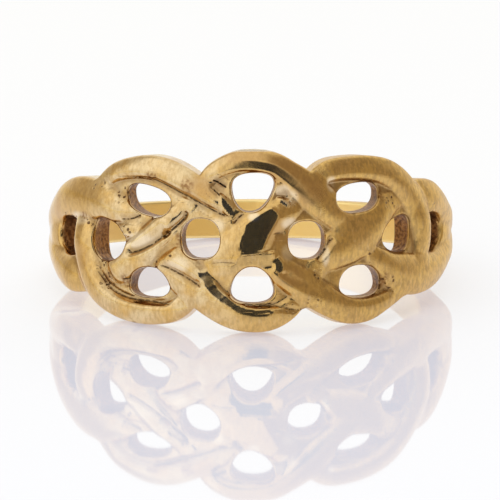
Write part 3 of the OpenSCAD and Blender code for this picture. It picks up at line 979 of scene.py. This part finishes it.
def times(tree, first, second):
    """One value multiplied by the other."""
    return math(tree, "MULTIPLY", first, second)


def plus(tree, first, second):
    """The sum of two values."""
    return math(tree, "ADD", first, second)


def rest(tree, value):
    """What the value leaves of 1."""
    return math(tree, "SUBTRACT", 1, value)


def step(tree, value, low, high):
    """0 below low, 1 above high, and smooth between; the other way round where low is the higher."""
    inputs = {"Value": value, "From Min": low, "From Max": high}
    return node(tree, "MapRange", inputs, interpolation_type="SMOOTHSTEP").outputs["Result"]


def between(tree, value, start, end):
    """1 between the ramps start and end, and 0 outside them."""
    return times(tree, step(tree, value, *start), rest(tree, step(tree, value, *end)))


def noise(tree, place, scale, detail=3, roughness=0.5, stretch=None):
    """Noise at the place, or at the place multiplied by three factors if stretch gives them."""
    if stretch:
        place = node(tree, "VectorMath", {0: place, 1: stretch}, operation="MULTIPLY").outputs[0]
    inputs = {"Vector": place, "Scale": scale, "Detail": detail, "Roughness": roughness}
    return node(tree, "TexNoise", inputs).outputs["Fac"]


def seam_line(tree, see):
    """The thin broken dark line along the middle of a crease."""
    line = rest(tree, step(tree, see["away"], 0.01, 0.05))
    broken = plus(tree, 0.25, times(tree, step(tree, see["grain"], 0.40, 0.55), 0.75))
    return times(tree, times(tree, line, see["seam_near"]), broken)


def casting_pores(tree, see):
    """Small pits with ragged borders, where the casting is pitted."""
    cells = node(tree, "TexVoronoi", {"Vector": see["place"], "Scale": 3.9}).outputs["Distance"]
    ragged = times(tree, math(tree, "SUBTRACT", 0.5, see["grain"]), 0.6)
    pits = rest(tree, step(tree, plus(tree, cells, ragged), 0.18, 0.36))
    return times(tree, pits, see["pitted"])


def gold_patterns(tree, masks):
    """What the gold's colour, gloss and relief share, by name: the place in mm, the masks of the
    mesh, two masks across the ring, noises, creases and pits."""
    see = {name: node(tree, "Attribute", attribute_name=name).outputs["Fac"] for name in masks}
    place = node(tree, "TexCoord").outputs["Object"]
    place = node(tree, "VectorMath", {0: place, "Scale": 1 / MM}, operation="SCALE").outputs[0]
    across = node(tree, "SeparateXYZ", {0: place}).outputs["X"]
    see["place"] = place
    # A painted sheen: paler gold on the left, where the light is brighter
    see["pale"] = between(tree, across, SHEEN_START, SHEEN_END)
    see["dull"] = step(tree, across, *DULL)
    see["grain"] = noise(tree, place, 6.0, 4)
    see["streaks"] = noise(tree, place, 1, 4, stretch=(9, 9, 1.8))
    see["away"] = math(tree, "ABSOLUTE", see["seam"])
    see["line"] = seam_line(tree, see)
    see["pore"] = casting_pores(tree, see)
    return see


def plain_layers(tree, see):
    """What lies on the plain gold all over, from the lowest layer up, the painted sheen on the left first:
    how much of it, and its colour.
    """
    place = see["place"]
    dull = see["dull"]
    streaks = see["streaks"]
    patches = step(tree, noise(tree, place, 0.9), 0.40, 0.70)
    mottle = step(tree, noise(tree, place, 2.4, 6, 0.65), 0.48, 0.64)
    mottle = times(tree, mottle, plus(tree, 0.40, times(tree, dull, 0.30)))
    dark = times(tree, step(tree, streaks, 0.45, 0.70), 0.20)
    light = times(tree, step(tree, streaks, 0.45, 0.28), 0.22)
    speckle = step(tree, noise(tree, place, 1, 6, stretch=(6, 6, 2.6)), 0.42, 0.66)
    speckle = times(tree, speckle, plus(tree, 0.36, times(tree, dull, 0.22)))
    return [
        (see["pale"], SHEEN_PAINTED_GOLD),
        (times(tree, dull, 0.6), WARM_GOLD),
        (patches, OLD_GOLD),
        (mottle, MOTTLE),
        (dark, DARK_STREAK),
        (light, LIGHT_STREAK),
        (speckle, SPECKLE),
    ]


def raw_wall(tree, see):
    """Colour of the walls of the piercings, as they came from the mould."""
    raw = mixed(tree, step(tree, see["grain"], 0.30, 0.70), RAW_DARK, RAW_LIGHT)
    return mixed(tree, times(tree, see["stain_and_dark_reflection"], 0.6), raw, RAW_STAIN)


def worn_layers(tree, see):
    """Wear, dirt, stains, painted highlights and painted shade in their places, and the walls and the painted
    brighter inside of the finger hole, in the same form.
    """
    # Painted shade on either side of each crease
    shade = rest(tree, step(tree, see["away"], 0.0, 0.34))
    shade = times(tree, times(tree, shade, see["seam_near"]), 0.40)
    ragged = plus(tree, times(tree, step(tree, see["grain"], 0.40, 0.62), 0.75), 0.25)
    stain_and_dark_reflection = times(tree, see["stain_and_dark_reflection"], ragged)
    return [
        (times(tree, see["brown"], 0.55), BROWN_PLACE),
        # Painted highlights in their places
        (times(tree, see["painted_highlight"], 0.70), PAINTED_HIGHLIGHT),
        # Valleys darkened with dirt and painted shade
        (times(tree, see["valley"], 0.62), VALLEY_DIRT_AND_SHADE),
        (shade, SEAM_SHADE),
        # Stains, and the painted dark reflection
        (times(tree, stain_and_dark_reflection, 0.80), STAIN_AND_DARK_REFLECTION),
        (times(tree, see["pore"], 0.95), PORE),
        (times(tree, see["line"], 0.95), SEAM_DARK_LINE),
        (see["wall"], raw_wall(tree, see)),
        # The inside of the finger hole painted brighter, standing in for light reflected between the gold
        # faces
        (see["bore"], BORE_LIT_GOLD),
    ]


def gold_gloss(tree, see):
    """Roughness: polished gold with a little grain, duller on the right, in pits and on raw walls."""
    gloss = plus(tree, times(tree, see["grain"], 0.08), 0.08)
    gloss = plus(tree, gloss, times(tree, see["dull"], 0.20))
    for name, least in (("pitted", 0.30), ("wall", 0.45), ("bore", 0.35), ("smoky", 0.16)):
        gloss = math(tree, "MAXIMUM", gloss, times(tree, see[name], least))
    return gloss


def gold_relief(tree, see):
    """Soft dents and fine scratches, calmer where the gold is smoothly worn, with the thin creases
    and the pits cut in and the raw walls rough."""
    calm = rest(tree, times(tree, see["smoky"], 0.75))
    dent = times(tree, noise(tree, see["place"], 1.6, 2), 0.6)
    fine = times(tree, noise(tree, see["place"], 11.0, 3), plus(tree, 0.11, times(tree, see["dull"], 0.25)))
    fine = plus(tree, fine, times(tree, see["streaks"], 0.07))
    height = times(tree, plus(tree, dent, fine), calm)
    height = math(tree, "SUBTRACT", height, times(tree, see["line"], 1.2))
    height = math(tree, "SUBTRACT", height, times(tree, see["pore"], 1.5))
    height = plus(tree, height, times(tree, see["wall"], times(tree, see["grain"], 2)))
    bump = node(tree, "Bump", {"Strength": 1.0, "Distance": 0.03 * MM, "Height": height})
    return bump.outputs["Normal"]


def gold_material(masks):
    """Old yellow gold: pale with a painted sheen between the left end and the middle, browner and duller on
    the right.
    """
    material = bpy.data.materials.new("gold")
    material.use_nodes = True
    tree = material.node_tree
    see = gold_patterns(tree, masks)
    colour = GOLD
    for amount, layer in plain_layers(tree, see) + worn_layers(tree, see):
        colour = mixed(tree, amount, colour, layer)
    shader = tree.nodes["Principled BSDF"]
    shader.inputs["Metallic"].default_value = 1
    tree.links.new(colour, shader.inputs["Base Color"])
    tree.links.new(gold_gloss(tree, see), shader.inputs["Roughness"])
    tree.links.new(gold_relief(tree, see), shader.inputs["Normal"])
    return material


def floor_material():
    """White acrylic, lit from below, that mirrors the ring a little more clearly at a low angle."""
    material = bpy.data.materials.new("floor")
    material.use_nodes = True
    tree = material.node_tree
    shader = tree.nodes["Principled BSDF"]
    settings = {"Base Color": (0.60, 0.60, 0.60, 1), "Roughness": 0.6, "Specular IOR Level": 0,
                "Emission Color": (0.75, 0.80, 1, 1), "Emission Strength": 0.63}
    for name, value in settings.items():
        shader.inputs[name].default_value = value
    mirror = node(tree, "BsdfGlossy", {"Color": (1, 0.96, 0.76, 1), "Roughness": 0.03})
    clear = times(tree, node(tree, "Fresnel", {"IOR": 1.5}).outputs[0], 1.4)
    both = node(tree, "MixShader", {0: clear, 1: shader.outputs[0], 2: mirror.outputs[0]})
    tree.links.new(both.outputs[0], tree.nodes["Material Output"].inputs["Surface"])
    return material


def place_camera():
    """The photo's view: seen from the front and from a little above. The aim is a point on the ring's
    middle plane, aim_x and aim_y are its pixel in the photo, and the focal length is in pixels."""
    photo_width = 500
    focal = 9767
    distance = 0.5
    elevation = np.radians(14.74)
    aim = Vector((0, CENTRE[1] * MM, 0.0045))
    aim_x = 250.4
    aim_y = 197.4
    back = Vector((0, -np.cos(elevation), np.sin(elevation)))
    up = Vector((0, np.sin(elevation), np.cos(elevation)))
    data = bpy.data.cameras.new("camera")
    camera = bpy.data.objects.new("camera", data)
    camera.location = aim + distance * back
    middle = photo_width / 2
    forward = -back * focal + Vector((middle - aim_x, 0, 0)) - up * (middle - aim_y)
    camera.rotation_euler = forward.to_track_quat("-Z", "Y").to_euler()
    data.sensor_width = 36
    data.lens = focal / photo_width * data.sensor_width
    data.clip_start = 0.01
    data.clip_end = 20
    bpy.context.scene.collection.objects.link(camera)
    bpy.context.scene.camera = camera


def soft_world():
    """A white tent: brightest on the left, dimmer on the right and behind on the left, with a dark
    opening in front."""
    world = bpy.data.worlds.new("studio")
    bpy.context.scene.world = world
    world.use_nodes = True
    tree = world.node_tree
    way = node(tree, "TexCoord").outputs["Generated"]
    parts = node(tree, "SeparateXYZ", {0: way}).outputs
    forward = times(tree, parts["Y"], -1.0)
    turn = math(tree, "DEGREES", math(tree, "ARCTAN2", parts["X"], forward))
    climb = math(tree, "DEGREES", math(tree, "ARCSINE", parts["Z"]))
    low = rest(tree, step(tree, climb, *LOW_END))
    right = times(tree, between(tree, turn, *RIGHT_TURN), low)
    behind = times(tree, between(tree, turn, *BEHIND_TURN), low)
    key = times(tree, between(tree, turn, *KEY_TURN), between(tree, climb, *KEY_CLIMB))
    away = math(tree, "ABSOLUTE", math(tree, "SUBTRACT", climb, OPENING_MIDDLE))
    level = rest(tree, step(tree, away, *OPENING_HALF))
    opening = times(tree, between(tree, turn, *OPENING_TURN), level)
    colour = WHITE
    for amount, part in ((right, RIGHT_COLOUR), (behind, BEHIND_COLOUR), (key, KEY_COLOUR),
                         (opening, OPENING_COLOUR)):
        colour = mixed(tree, amount, colour, part)
    tree.links.new(colour, tree.nodes["Background"].inputs["Color"])
    tree.nodes["Background"].inputs["Strength"].default_value = 1


def lay_floor():
    """A plain floor under the ring."""
    mesh = bpy.data.meshes.new("floor")
    half = 1.5
    corners = [(-half, -half, 0), (half, -half, 0), (half, half, 0), (-half, half, 0)]
    mesh.from_pydata(corners, [], [(0, 1, 2, 3)])
    floor = bpy.data.objects.new("floor", mesh)
    floor.data.materials.append(floor_material())
    bpy.context.scene.collection.objects.link(floor)


ring, ring_masks = build_ring()
ring.data.materials.append(gold_material(ring_masks))
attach(ring, "root")
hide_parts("ring")
place_camera()
soft_world()
lay_floor()
bpy.context.scene.view_settings.view_transform = "Standard"
